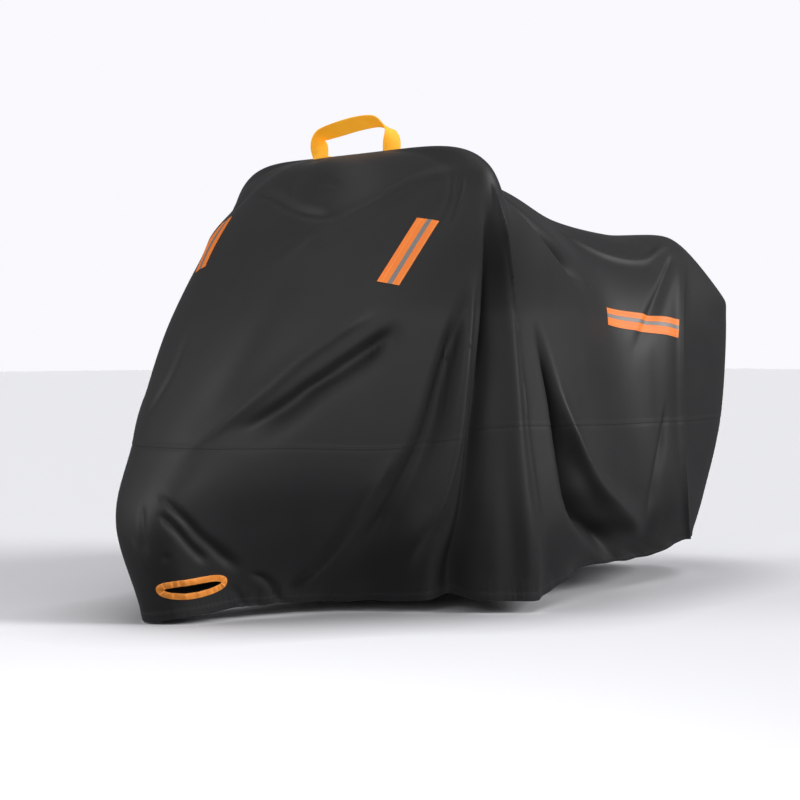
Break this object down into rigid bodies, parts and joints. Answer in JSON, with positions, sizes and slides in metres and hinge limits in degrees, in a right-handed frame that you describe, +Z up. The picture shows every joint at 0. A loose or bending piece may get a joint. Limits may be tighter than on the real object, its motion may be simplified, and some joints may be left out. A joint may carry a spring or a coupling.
{
  "type": "motorcycle cover",
  "caption": "Fitted cloth cover in its draped shape, hollow and open below, with a carry handle, reflective tapes and bound slots near the front hem.",
  "frame": {"origin": "middle of the cover's length and width, at the height of the lowest point of its hem", "axes": "+X runs from the nose to the tail, -Y is the side seen in the picture, +Z is up"},
  "size_m": [2.2761, 1.1379, 1.3666],
  "materials": {
    "cloth": "coated woven polyester, charcoal black with a slight satin sheen",
    "tape": "orange tape with a silver reflective stripe along its middle",
    "binding": "orange woven edging",
    "webbing": "yellow-orange woven webbing"
  },
  "bodies": {
    "root": {"body_upper": "cloth", "body_lower": "cloth", "tail_upper": "cloth", "tail_lower": "cloth", "carry_handle": "webbing", "tape_front_left": "tape", "tape_front_right": "tape", "tape_rear_left": "tape", "tape_rear_right": "tape", "front_slot_binding_left": "binding", "front_slot_binding_right": "binding"}
  },
  "joints": []
}
